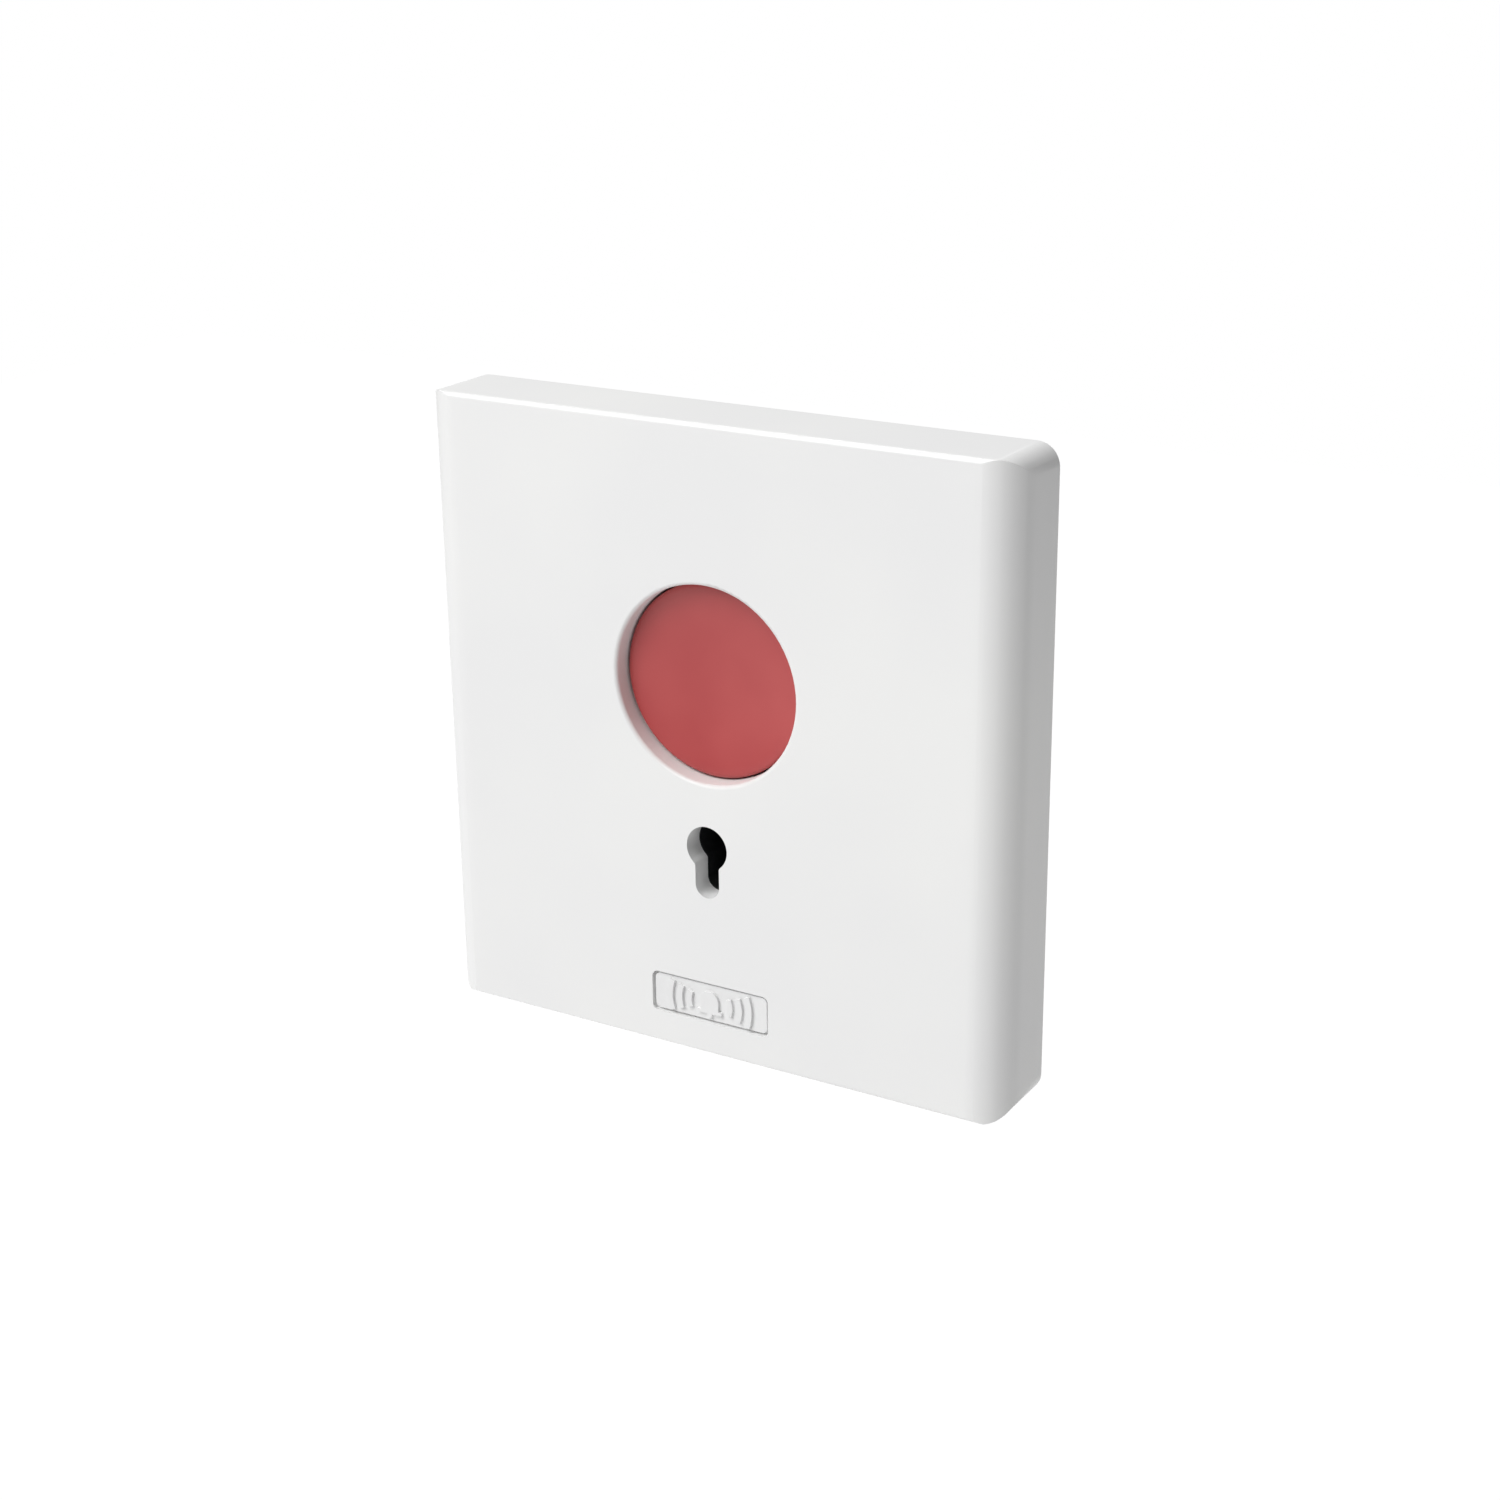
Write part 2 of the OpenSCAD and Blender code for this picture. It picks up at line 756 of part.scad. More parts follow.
module latch_plate() {
    window_top = button_z + plunger_r + latch_travel + 0.6;
    window_bottom = button_z - plunger_r - touch_gap;
    hub_top = -key_z + hub_r + latch_travel + fit_gap;
    hub_bottom = -key_z - hub_r - fit_gap;
    ledge_z = -key_z - crank_pin_r - snug_gap;
    hub_x = hub_r + fit_gap;
    color("#a7aaae")
        along_y(latch_y, latch_back)
            difference() {
                union() {
                    translate([-latch_half_w, latch_bottom])
                        square([2 * latch_half_w, latch_top - latch_bottom]);
                    translate([-latch_peg_w / 2, latch_bottom - latch_peg_l])
                        square([latch_peg_w, latch_peg_l + slop]);
                }
                translate([-latch_window_w / 2, window_bottom])
                    square([latch_window_w, window_top - window_bottom]);
                translate([-hub_x, hub_bottom])
                    square([2 * hub_x, hub_top - hub_bottom]);
                translate([0, ledge_z])
                    square([crank_r + crank_pin_r + fit_gap, hub_top - ledge_z]);
            }
}

module latch_spring() {
    color("#b9bcc0")
        translate([0, latch_spring_y, -inner_box_h / 2])
            coil(latch_spring_r, latch_wire, latch_bottom + inner_box_h / 2, latch_spring_turns);
}

// ---- Rear cover, contacts and terminals ----------------------------------------------------------------

module at_terminals() {
    for (i = [-1, 0, 1])
        translate([i * terminal_pitch, 0, pad_z])
            children();
}

module rear_cover() {
    color("#2d2e30")
        difference() {
            union() {
                along_y(rear_y, rear_back)
                    rounded_square(box_w, box_height, 1.5);
                disc(0, -key_z, hub_boss_r, hub_boss_y, rear_y + slop);
                disc(0, button_z, tip_boss_r, rear_back - slop, tip_boss_back);
                for (i = [-1.5, -0.5, 0.5, 1.5])
                    block(i * terminal_pitch - barrier_t / 2, i * terminal_pitch + barrier_t / 2, rear_back - slop,
                          rear_back + barrier_h, pad_z - pad_w / 2, pad_z - pad_w / 2 + barrier_l);
                for (spot = stake_spots())
                    stake(spot[0], spot[1]);
            }
            disc(0, -key_z, hub_r + run_gap, hub_boss_y - 1, hub_back);
            disc(0, button_z, tip_pocket_r, rear_y - 1, tip_pocket_back);
            at_terminals()
                disc(0, 0, terminal_screw_r + screw_pass_gap, rear_y - 1, rear_back + 1);
            at_box_screws() {
                disc(0, 0, small_screw_r + screw_pass_gap, rear_y - 1, rear_back + 1);
                disc(0, 0, small_head_r + head_gap, rear_back, rear_back + barrier_h + 1);
            }
        }
}

// Where the rear cover's pins hold the strips, in X and Z
function stake_spots() = [
    [terminal_pitch / 2, common_run_z + strip_w / 2],
    [closed_run_x + strip_w / 2, -key_z / 3],
    [open_x - contact_t - strip_w / 2, -key_z / 3]
];

module stake(x, z) {
    disc(x, z, stake_r, strip_y - slop, rear_y + slop);
    disc(x, z, stake_head_r, strip_y - stake_head_h, strip_y);
}

module stake_holes() {
    for (spot = stake_spots())
        translate(spot)
            circle(r = stake_r + snug_gap);
}

// A flat run of a strip on the rear cover, from the corners of its outline in X and Z
module strip_run(x0, x1, z0, z1) {
    translate([x0, z0])
        square([x1 - x0, z1 - z0]);
}

module terminal_pad(i) {
    x = i * terminal_pitch;
    difference() {
        block(x - pad_w / 2, x + pad_w / 2, rear_y - pad_t, rear_y, pad_z - pad_w / 2, pad_z + pad_w / 2);
        disc(x, pad_z, terminal_screw_r + screw_hole_gap, rear_y - pad_t - 1, rear_y + 1);
    }
}

// The part of a strip that stands up from the rear cover
module lug(x0, z0, length) {
    block(x0, x0 + strip_t, lug_y, rear_y, z0, z0 + length);
}

module common_strip() {
    lug_x = leaf_x - leaf_t - snug_gap - strip_t;
    pad_top = pad_z + pad_w / 2;
    color("#c49a4a") {
        lug(lug_x, pivot_z, leaf_top - pivot_z + 0.4);
        terminal_pad(1);
        along_y(strip_y, rear_y)
            difference() {
                union() {
                    strip_run(lug_x, common_run_x + strip_w, common_run_z, common_run_z + strip_w);
                    strip_run(common_run_x, common_run_x + strip_w, pad_top - slop, common_run_z + slop);
                }
                stake_holes();
            }
    }
}

module normally_closed_strip() {
    lug_x = closed_x + contact_t;
    pad_top = pad_z + pad_w / 2;
    color("#c49a4a") {
        lug(lug_x, lug_z, lug_w);
        terminal_pad(0);
        along_y(strip_y, rear_y)
            difference() {
                union() {
                    strip_run(lug_x, closed_run_x + strip_w, lug_z, lug_z + lug_w - 0.4);
                    strip_run(closed_run_x, closed_run_x + strip_w, pad_top - strip_w, lug_z + slop);
                    strip_run(pad_w / 2 - slop, closed_run_x + slop, pad_top - strip_w, pad_top - 0.4);
                }
                stake_holes();
            }
    }
}

module normally_open_strip() {
    lug_x = open_x - contact_t - strip_t;
    run_x = open_x - contact_t - strip_w;
    pad_top = pad_z + pad_w / 2;
    color("#c49a4a") {
        lug(lug_x, lug_z, lug_w);
        terminal_pad(-1);
        along_y(strip_y, rear_y)
            difference() {
                strip_run(run_x, run_x + strip_w, pad_top - slop, lug_z + lug_w);
                stake_holes();
            }
    }
}

module contact_leaf() {
    bump_x = leaf_x + bump_r;
    color("#c98f5a")
        difference() {
            union() {
                block(leaf_x - leaf_t, leaf_x, leaf_y, leaf_y + leaf_width, leaf_bottom, leaf_top);
                translate([bump_x, taper_back, button_z - 1])
                    cylinder(h = 2, r = bump_r);
                block(leaf_x - slop, bump_x, taper_back - bump_r, taper_back + bump_r, button_z - 1, button_z + 1);
            }
            along_x(leaf_x - leaf_t - 1, leaf_x + 0.4, contact_shank_r);
        }
}

// A rod along X on the contacts' own line
module along_x(x0, x1, r) {
    translate([x0, contact_y, contact_z])
        rotate([0, 90, 0])
            cylinder(h = x1 - x0, r = r);
}

module leaf_contact() {
    color("#d3d6da") {
        along_x(leaf_x, leaf_x + contact_t, contact_r);
        along_x(leaf_x - leaf_t - slop, leaf_x + slop, contact_shank_r);
        along_x(leaf_x - leaf_t - contact_t, leaf_x - leaf_t, contact_r);
    }
}

module normally_closed_contact() {
    color("#d3d6da")
        along_x(closed_x, closed_x + contact_t, contact_r);
}

module normally_open_contact() {
    color("#d3d6da")
        along_x(open_x - contact_t, open_x, contact_r);
}

module rear_cover_screws() {
    color("#8f9296")
        for (sx = [-1, 1], sz = [-1, 1])
            pan_screw(sx * box_screw_x, sz * box_screw_z, rear_back, 1, small_screw_r, rear_t + 6,
                      small_head_r, small_head_h);
}

module terminal_clamps() {
    color("#c3c6c9")
        at_terminals()
            difference() {
                union() {
                    block(-clamp_w / 2, clamp_w / 2, rear_back, rear_back + clamp_t, -clamp_w / 2, clamp_w / 2);
                    for (side = [-1, 1])
                        block(side * (clamp_w - clamp_ear) / 2 - clamp_ear / 2,
                              side * (clamp_w - clamp_ear) / 2 + clamp_ear / 2, rear_back,
                              rear_back + 2 * clamp_t, -clamp_w / 2, clamp_w / 2);
                }
                disc(0, 0, terminal_screw_r + screw_hole_gap, rear_back - 1, rear_back + 3);
            }
}

module terminal_screws() {
    color("#c3a869")
        for (i = [-1, 0, 1])
            pan_screw(i * terminal_pitch, pad_z, rear_back + clamp_t, 1, terminal_screw_r,
                      rear_back + clamp_t - terminal_tip_y, terminal_head_r, terminal_head_h);
}

front_cover();
emblem_plate();
mounting_frame();
button_cap();
button_plunger();
button_spring();
plunger_clip();
mechanism_housing();
housing_screws();
key_rotor();
latch_plate();
latch_spring();
rear_cover();
rear_cover_screws();
common_strip();
normally_closed_strip();
normally_open_strip();
contact_leaf();
leaf_contact();
normally_closed_contact();
normally_open_contact();
terminal_clamps();
terminal_screws();
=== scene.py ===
import math

import bmesh
import bpy
from mathutils import Euler, Matrix, Vector


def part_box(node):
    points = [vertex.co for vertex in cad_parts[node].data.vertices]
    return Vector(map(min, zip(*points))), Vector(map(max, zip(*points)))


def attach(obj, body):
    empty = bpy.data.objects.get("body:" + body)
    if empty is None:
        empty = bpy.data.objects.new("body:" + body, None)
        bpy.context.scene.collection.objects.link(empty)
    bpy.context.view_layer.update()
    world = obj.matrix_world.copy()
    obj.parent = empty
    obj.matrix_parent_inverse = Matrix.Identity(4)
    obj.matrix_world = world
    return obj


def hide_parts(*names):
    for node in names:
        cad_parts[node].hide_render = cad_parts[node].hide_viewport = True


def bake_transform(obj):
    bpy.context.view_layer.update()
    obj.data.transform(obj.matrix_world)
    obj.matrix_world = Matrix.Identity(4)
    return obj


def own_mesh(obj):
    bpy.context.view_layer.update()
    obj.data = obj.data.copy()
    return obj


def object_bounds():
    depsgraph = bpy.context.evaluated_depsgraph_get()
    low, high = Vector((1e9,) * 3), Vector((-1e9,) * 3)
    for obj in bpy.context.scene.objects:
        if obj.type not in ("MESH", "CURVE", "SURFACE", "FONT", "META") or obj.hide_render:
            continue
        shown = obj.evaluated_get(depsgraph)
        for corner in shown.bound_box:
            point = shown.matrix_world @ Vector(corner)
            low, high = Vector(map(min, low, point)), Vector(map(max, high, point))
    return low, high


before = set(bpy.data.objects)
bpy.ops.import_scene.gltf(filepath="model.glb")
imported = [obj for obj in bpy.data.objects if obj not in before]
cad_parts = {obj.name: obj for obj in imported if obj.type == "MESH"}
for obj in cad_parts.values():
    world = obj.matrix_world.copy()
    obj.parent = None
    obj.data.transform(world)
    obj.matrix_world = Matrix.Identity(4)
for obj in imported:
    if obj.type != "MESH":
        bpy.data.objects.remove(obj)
cadLow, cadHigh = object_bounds()
mm = 0.001
print("frame loaded:", len(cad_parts), "CAD nodes")


def linear(hexColour):
    # an sRGB hex colour as the linear red, green, blue and alpha that sockets take
    channels = [int(hexColour[i:i + 2], 16) / 255 for i in (1, 3, 5)]
    return (*[c / 12.92 if c <= 0.04045 else ((c + 0.055) / 1.055) ** 2.4 for c in channels], 1.0)


def addNode(tree, kind, inputs=None):
    # inputs: a value is set, a socket is linked
    made = tree.nodes.new(kind)
    for key, value in (inputs or {}).items():
        if isinstance(value, bpy.types.NodeSocket):
            tree.links.new(value, made.inputs[key])
        else:
            made.inputs[key].default_value = value
    return made


def startMaterial(name):
    material = bpy.data.materials.new(name)
    material.use_nodes = True
    tree = material.node_tree
    tree.nodes.clear()
    coords = addNode(tree, "ShaderNodeTexCoord").outputs["Object"]
    return material, tree, coords


def finishMaterial(tree, shader):
    addNode(tree, "ShaderNodeOutputMaterial", {"Surface": shader.outputs["BSDF"]})


def shadeBetween(tree, noise, look, start, end):
    # the darker colour below start, the plain colour above end
    ramp = addNode(tree, "ShaderNodeValToRGB", {"Fac": noise.outputs["Fac"]})
    steps = ((start, look["dark"]), (end, look["colour"]))
    for element, (position, colour) in zip(ramp.color_ramp.elements, steps):
        element.position = position
        element.color = linear(colour)
    return ramp.outputs["Color"]


def glossAround(tree, noise, look):
    return addNode(tree, "ShaderNodeMapRange", {
        "Value": noise.outputs["Fac"], "From Min": 0.3, "From Max": 0.7,
        "To Min": look["roughness"] - look["roughSpread"],
        "To Max": look["roughness"] + look["roughSpread"]}).outputs["Result"]


def mouldedPlastic(name, look):
    # Injection-moulded: an even spark-eroded grain, a very slight flow shade and uneven gloss
    material, tree, coords = startMaterial(name)
    flow = addNode(tree, "ShaderNodeTexNoise", {
        "Vector": coords, "Scale": 1 / (look["flowMm"] * mm), "Detail": 2.0, "Roughness": 0.4})
    grain = addNode(tree, "ShaderNodeTexNoise", {
        "Vector": coords, "Scale": 1 / (look["grainMm"] * mm), "Detail": 3.0, "Roughness": 0.6})
    bump = addNode(tree, "ShaderNodeBump", {
        "Height": grain.outputs["Fac"], "Strength": look["bump"], "Distance": look["grainDepthMm"] * mm})
    shader = addNode(tree, "ShaderNodeBsdfPrincipled", {
        "Base Color": shadeBetween(tree, flow, look, 0.35, 0.65), "Roughness": glossAround(tree, grain, look),
        "Normal": bump.outputs["Normal"], "IOR": look["ior"]})
    finishMaterial(tree, shader)
    return material


def drawnMetal(name, look):
    # Metal with fine marks along one axis: rolled strip, drawn wire or a turned screw
    material, tree, coords = startMaterial(name)
    stretch = addNode(tree, "ShaderNodeMapping", {"Vector": coords, "Scale": Vector(look["stretch"])})
    marks = addNode(tree, "ShaderNodeTexNoise", {
        "Vector": stretch.outputs["Vector"], "Scale": 1 / (look["markMm"] * mm),
        "Detail": 4.0, "Roughness": 0.65})
    stain = addNode(tree, "ShaderNodeTexNoise", {
        "Vector": coords, "Scale": 1 / (look["stainMm"] * mm), "Detail": 3.0, "Roughness": 0.55})
    bump = addNode(tree, "ShaderNodeBump", {
        "Height": marks.outputs["Fac"], "Strength": look["bump"], "Distance": look["markDepthMm"] * mm})
    shader = addNode(tree, "ShaderNodeBsdfPrincipled", {
        "Base Color": shadeBetween(tree, stain, look, 0.3, 0.62), "Metallic": 1.0,
        "Roughness": glossAround(tree, marks, look), "Normal": bump.outputs["Normal"]})
    finishMaterial(tree, shader)
    return material


absIor, pomIor = 1.53, 1.48

# White ABS, spark-eroded mould: even and satin. The grain is drawn at 0.25 mm so that it can show
whiteAbs = mouldedPlastic("whiteAbsMoulded", {
    "colour": "#F0F0EF", "dark": "#EDEDED", "flowMm": 26, "grainMm": 0.25, "grainDepthMm": 0.02,
    "bump": 0.12, "roughness": 0.42, "roughSpread": 0.04, "ior": absIor})
# The badge is the same ABS from a polished insert: a touch greyer and glossier
emblemAbs = mouldedPlastic("whiteAbsPolished", {
    "colour": "#ECECEC", "dark": "#E8E8E8", "flowMm": 9, "grainMm": 0.2, "grainDepthMm": 0.015,
    "bump": 0.08, "roughness": 0.34, "roughSpread": 0.04, "ior": absIor})
# Natural ABS of the hidden frame: greyer and rougher, straight from the tool
frameAbs = mouldedPlastic("greyWhiteAbsMoulded", {
    "colour": "#E3E3E0", "dark": "#D9D9D6", "flowMm": 18, "grainMm": 0.3, "grainDepthMm": 0.03,
    "bump": 0.25, "roughness": 0.55, "roughSpread": 0.06, "ior": absIor})
# Red ABS of the button: pigmented through, satin face
redAbs = mouldedPlastic("redAbsMoulded", {
    "colour": "#B94D4D", "dark": "#B14445", "flowMm": 11, "grainMm": 0.22, "grainDepthMm": 0.02,
    "bump": 0.14, "roughness": 0.40, "roughSpread": 0.05, "ior": absIor})
# Black flame-retardant ABS of the box: coarse spark grain, dull
blackAbs = mouldedPlastic("blackAbsMoulded", {
    "colour": "#2B2C2E", "dark": "#222325", "flowMm": 14, "grainMm": 0.4, "grainDepthMm": 0.05,
    "bump": 0.35, "roughness": 0.5, "roughSpread": 0.08, "ior": absIor})
# Black acetal of the plunger and rotor: waxy and smoother than ABS
blackAcetal = mouldedPlastic("blackAcetalMoulded", {
    "colour": "#1E1E20", "dark": "#17171A", "flowMm": 8, "grainMm": 0.3, "grainDepthMm": 0.015,
    "bump": 0.12, "roughness": 0.36, "roughSpread": 0.06, "ior": pomIor})
# Spring wire: hard drawn, bright, with die lines
springSteel = drawnMetal("springWireDrawn", {
    "colour": "#B9BBBF", "dark": "#9A9CA1", "stainMm": 3, "markMm": 0.12, "stretch": (1, 1, 0.2),
    "markDepthMm": 0.01, "bump": 0.2, "roughness": 0.28, "roughSpread": 0.07})
# Nickel-plated steel, stamped: soft rolling marks along Z
stampedSteel = drawnMetal("steelStampedNickelPlated", {
    "colour": "#B6B3AC", "dark": "#9F9C96", "stainMm": 5, "markMm": 0.15, "stretch": (1, 1, 0.08),
    "markDepthMm": 0.008, "bump": 0.25, "roughness": 0.33, "roughSpread": 0.08})
# Zinc-plated screws: bluish, slightly mottled
zincSteel = drawnMetal("steelZincPlated", {
    "colour": "#AEB2B8", "dark": "#8D9199", "stainMm": 1.2, "markMm": 0.2, "stretch": (1, 0.3, 1),
    "markDepthMm": 0.012, "bump": 0.2, "roughness": 0.34, "roughSpread": 0.08})
# Brass strip: rolled, faintly tarnished
rolledBrass = drawnMetal("brassRolledStrip", {
    "colour": "#C9A254", "dark": "#AE8640", "stainMm": 4, "markMm": 0.14, "stretch": (1, 1, 0.08),
    "markDepthMm": 0.008, "bump": 0.22, "roughness": 0.32, "roughSpread": 0.08})
# Phosphor bronze leaf: redder than brass, bright rolled
leafBronze = drawnMetal("phosphorBronzeRolled", {
    "colour": "#C88C5C", "dark": "#B07648", "stainMm": 4, "markMm": 0.12, "stretch": (1, 1, 0.06),
    "markDepthMm": 0.006, "bump": 0.2, "roughness": 0.28, "roughSpread": 0.06})
# Silver contact buttons: pale, lightly burnished
contactSilver = drawnMetal("silverContactPressed", {
    "colour": "#DADADA", "dark": "#C4C2BC", "stainMm": 0.8, "markMm": 0.1, "stretch": (1, 1, 1),
    "markDepthMm": 0.006, "bump": 0.15, "roughness": 0.3, "roughSpread": 0.08})
# Brass screws: turned, with marks round the head
turnedBrass = drawnMetal("brassTurned", {
    "colour": "#C6A45E", "dark": "#A98646", "stainMm": 1.5, "markMm": 0.12, "stretch": (1, 0.3, 1),
    "markDepthMm": 0.01, "bump": 0.2, "roughness": 0.33, "roughSpread": 0.08})

# What each CAD shape is finished as: material, slot, body and the radius its edges get, in millimetres
cadFinish = {
    "front_cover": {"material": whiteAbs, "slot": "white_abs", "body": "chassis", "edge": 0.14},
    "emblem_plate": {"material": emblemAbs, "slot": "emblem_white", "body": "chassis", "edge": 0.2},
    "mounting_frame": {"material": frameAbs, "slot": "frame_abs", "body": "chassis", "edge": 0.2},
    "button_plunger": {"material": blackAcetal, "slot": "black_pom", "body": "button", "edge": 0.12},
    "plunger_clip": {"material": springSteel, "slot": "spring_steel", "body": "button", "edge": 0.08},
    "mechanism_housing": {"material": blackAbs, "slot": "black_abs", "body": "chassis", "edge": 0.2},
    "key_rotor": {"material": blackAcetal, "slot": "black_pom", "body": "rotor", "edge": 0.14},
    "latch_plate": {"material": stampedSteel, "slot": "latch_steel", "body": "latch", "edge": 0.1},
    "rear_cover": {"material": blackAbs, "slot": "black_abs", "body": "chassis", "edge": 0.2},
    "common_strip": {"material": rolledBrass, "slot": "strip_brass", "body": "chassis", "edge": 0.07},
    "normally_closed_strip": {"material": rolledBrass, "slot": "strip_brass", "body": "chassis", "edge": 0.07},
    "normally_open_strip": {"material": rolledBrass, "slot": "strip_brass", "body": "chassis", "edge": 0.07},
    "leaf_contact": {"material": contactSilver, "slot": "contact_silver",
                     "body": "moving_contact", "edge": 0.1},
    "normally_closed_contact": {"material": contactSilver, "slot": "contact_silver",
                                "body": "chassis", "edge": 0.1},
    "normally_open_contact": {"material": contactSilver, "slot": "contact_silver",
                              "body": "chassis", "edge": 0.1},
    "terminal_clamps": {"material": stampedSteel, "slot": "clamp_steel", "body": "chassis", "edge": 0.12},
}


# points closer than weld are one point, and faces that bend less than flatAngle are one flat face
weld, flatAngle = 0.002 * mm, math.radians(1.2)


def camelName(name):
    words = name.split("_")
    return words[0] + "".join(word.capitalize() for word in words[1:])


def finishPiece(name, bm, look, nodes, edge=0.0, sharpAngle=32):
    mesh = bpy.data.meshes.new(name)
    bm.to_mesh(mesh)
    bm.free()
    mesh.materials.append(look["material"])
    mesh.polygons.foreach_set("use_smooth", [True] * len(mesh.polygons))
    mesh.set_sharp_from_angle(angle=math.radians(sharpAngle))
    piece = bpy.data.objects.new(name, mesh)
    bpy.context.scene.collection.objects.link(piece)
    if edge:
        bevel = piece.modifiers.new("softEdge", "BEVEL")
        bevel.width = edge * mm
        bevel.segments = 2
        bevel.limit_method = "ANGLE"
        bevel.angle_limit = math.radians(sharpAngle)
        bevel.use_clamp_overlap = True
        flat = piece.modifiers.new("flatFaces", "WEIGHTED_NORMAL")
        flat.keep_sharp = True
    if look["body"]:
        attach(piece, look["body"])
    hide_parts(*nodes)
    return piece


def softenCadShape(name, look):
    # the CAD mesh is loose triangles: a copy is merged, flat faces are joined and the edges get a mould radius
    bm = bmesh.new()
    bm.from_mesh(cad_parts[name].data)
    bmesh.ops.remove_doubles(bm, verts=bm.verts, dist=weld)
    bmesh.ops.dissolve_limit(bm, angle_limit=flatAngle, use_dissolve_boundaries=False,
                             verts=bm.verts, edges=bm.edges)
    finishPiece(camelName(name), bm, look, [name], edge=look["edge"])


for name, look in cadFinish.items():
    softenCadShape(name, look)
print("CAD shapes softened:", len(cadFinish))


def spinRound(bm, points, centre, steps):
    # points are (radius, y); the profile turns once about a line along Y through centre
    verts = [bm.verts.new((centre[0] + radius, y, centre[1])) for radius, y in points]
    edges = [bm.edges.new(pair) for pair in zip(verts, verts[1:])]
    bmesh.ops.spin(bm, geom=verts + edges, cent=(centre[0], 0, centre[1]), axis=(0, 1, 0),
                   angle=math.tau, steps=steps, use_merge=True)


def quarterArc(centre, radius, start, steps):
    # points of a quarter turn about centre, in (radius, y), from the angle start in degrees
    return [(centre[0] + radius * math.cos(math.radians(start + 90 * i / steps)),
             centre[1] + radius * math.sin(math.radians(start + 90 * i / steps))) for i in range(steps + 1)]


buttonLook = {
    "material": redAbs, "slot": "red_abs", "body": "button",
    "dishDepth": 0.95, "land": 0.9, "rim": 0.5, "wall": 1.6, "face": 1.9, "socketWall": 1.6,
    "peg": 3.45, "pegLength": 3.35, "mouthEdge": 0.2, "innerEdge": 0.3,
    "dishSteps": 20, "rimSteps": 6, "steps": 144,
}


def buildButton():
    look = buttonLook
    low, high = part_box("button_cap")
    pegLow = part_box("button_plunger")[0]
    centre = ((low.x + high.x) / 2, (low.z + high.z) / 2)
    capRadius = (high.x - low.x) / 2
    front, back = low.y, high.y
    rim, wall, face = look["rim"] * mm, look["wall"] * mm, look["face"] * mm
    dishRadius = capRadius - look["land"] * mm
    pegRadius, seat = look["peg"] * mm, pegLow.y + look["pegLength"] * mm
    mouth, inner = look["mouthEdge"] * mm, look["innerEdge"] * mm
    inside, floor, socket = capRadius - wall, front + face, pegRadius + look["socketWall"] * mm
    bm = bmesh.new()
    # the profile runs from the middle of the face over the rim and the mouth to the peg's socket
    shares = [i / look["dishSteps"] for i in range(look["dishSteps"] + 1)]
    dish = [(dishRadius * share, front + look["dishDepth"] * mm * (1 - share ** 2)) for share in shares]
    rimArc = quarterArc((capRadius - rim, front + rim), rim, -90, look["rimSteps"])
    behind = [
        (capRadius, back - mouth), (capRadius - mouth, back), (inside + mouth, back), (inside, back - mouth),
        (inside, floor + inner), (inside - inner, floor), (socket, floor), (socket, seat),
        (pegRadius, seat), (pegRadius, floor), (0, floor),
    ]
    spinRound(bm, dish + rimArc + behind, centre, look["steps"])
    bmesh.ops.remove_doubles(bm, verts=bm.verts, dist=weld)
    bmesh.ops.recalc_face_normals(bm, faces=bm.faces)
    finishPiece("buttonCap", bm, look, ["button_cap"], sharpAngle=40)


buildButton()
print("button made")


springLook = {
    "button": {"name": "buttonSpring", "node": "button_spring", "material": springSteel, "slot": "spring_steel",
               "body": "chassis", "wire": 0.8, "turns": 5.0, "sides": 12, "steps": 36,
               "axis": Vector((0, 1, 0)), "joint": "button_press", "travel": 3.2, "held": "high"},
    "latch": {"name": "latchSpring", "node": "latch_spring", "material": springSteel, "slot": "spring_steel",
              "body": "chassis", "wire": 0.4, "turns": 7.0, "sides": 8, "steps": 24,
              "axis": Vector((0, 0, 1)), "joint": "latch_slide", "travel": 2.52, "held": "low"},
}
# an end turn climbs almost one wire, and this share of the wire is ground off below its middle line
deadPitch, groundShare = 0.98, 0.05


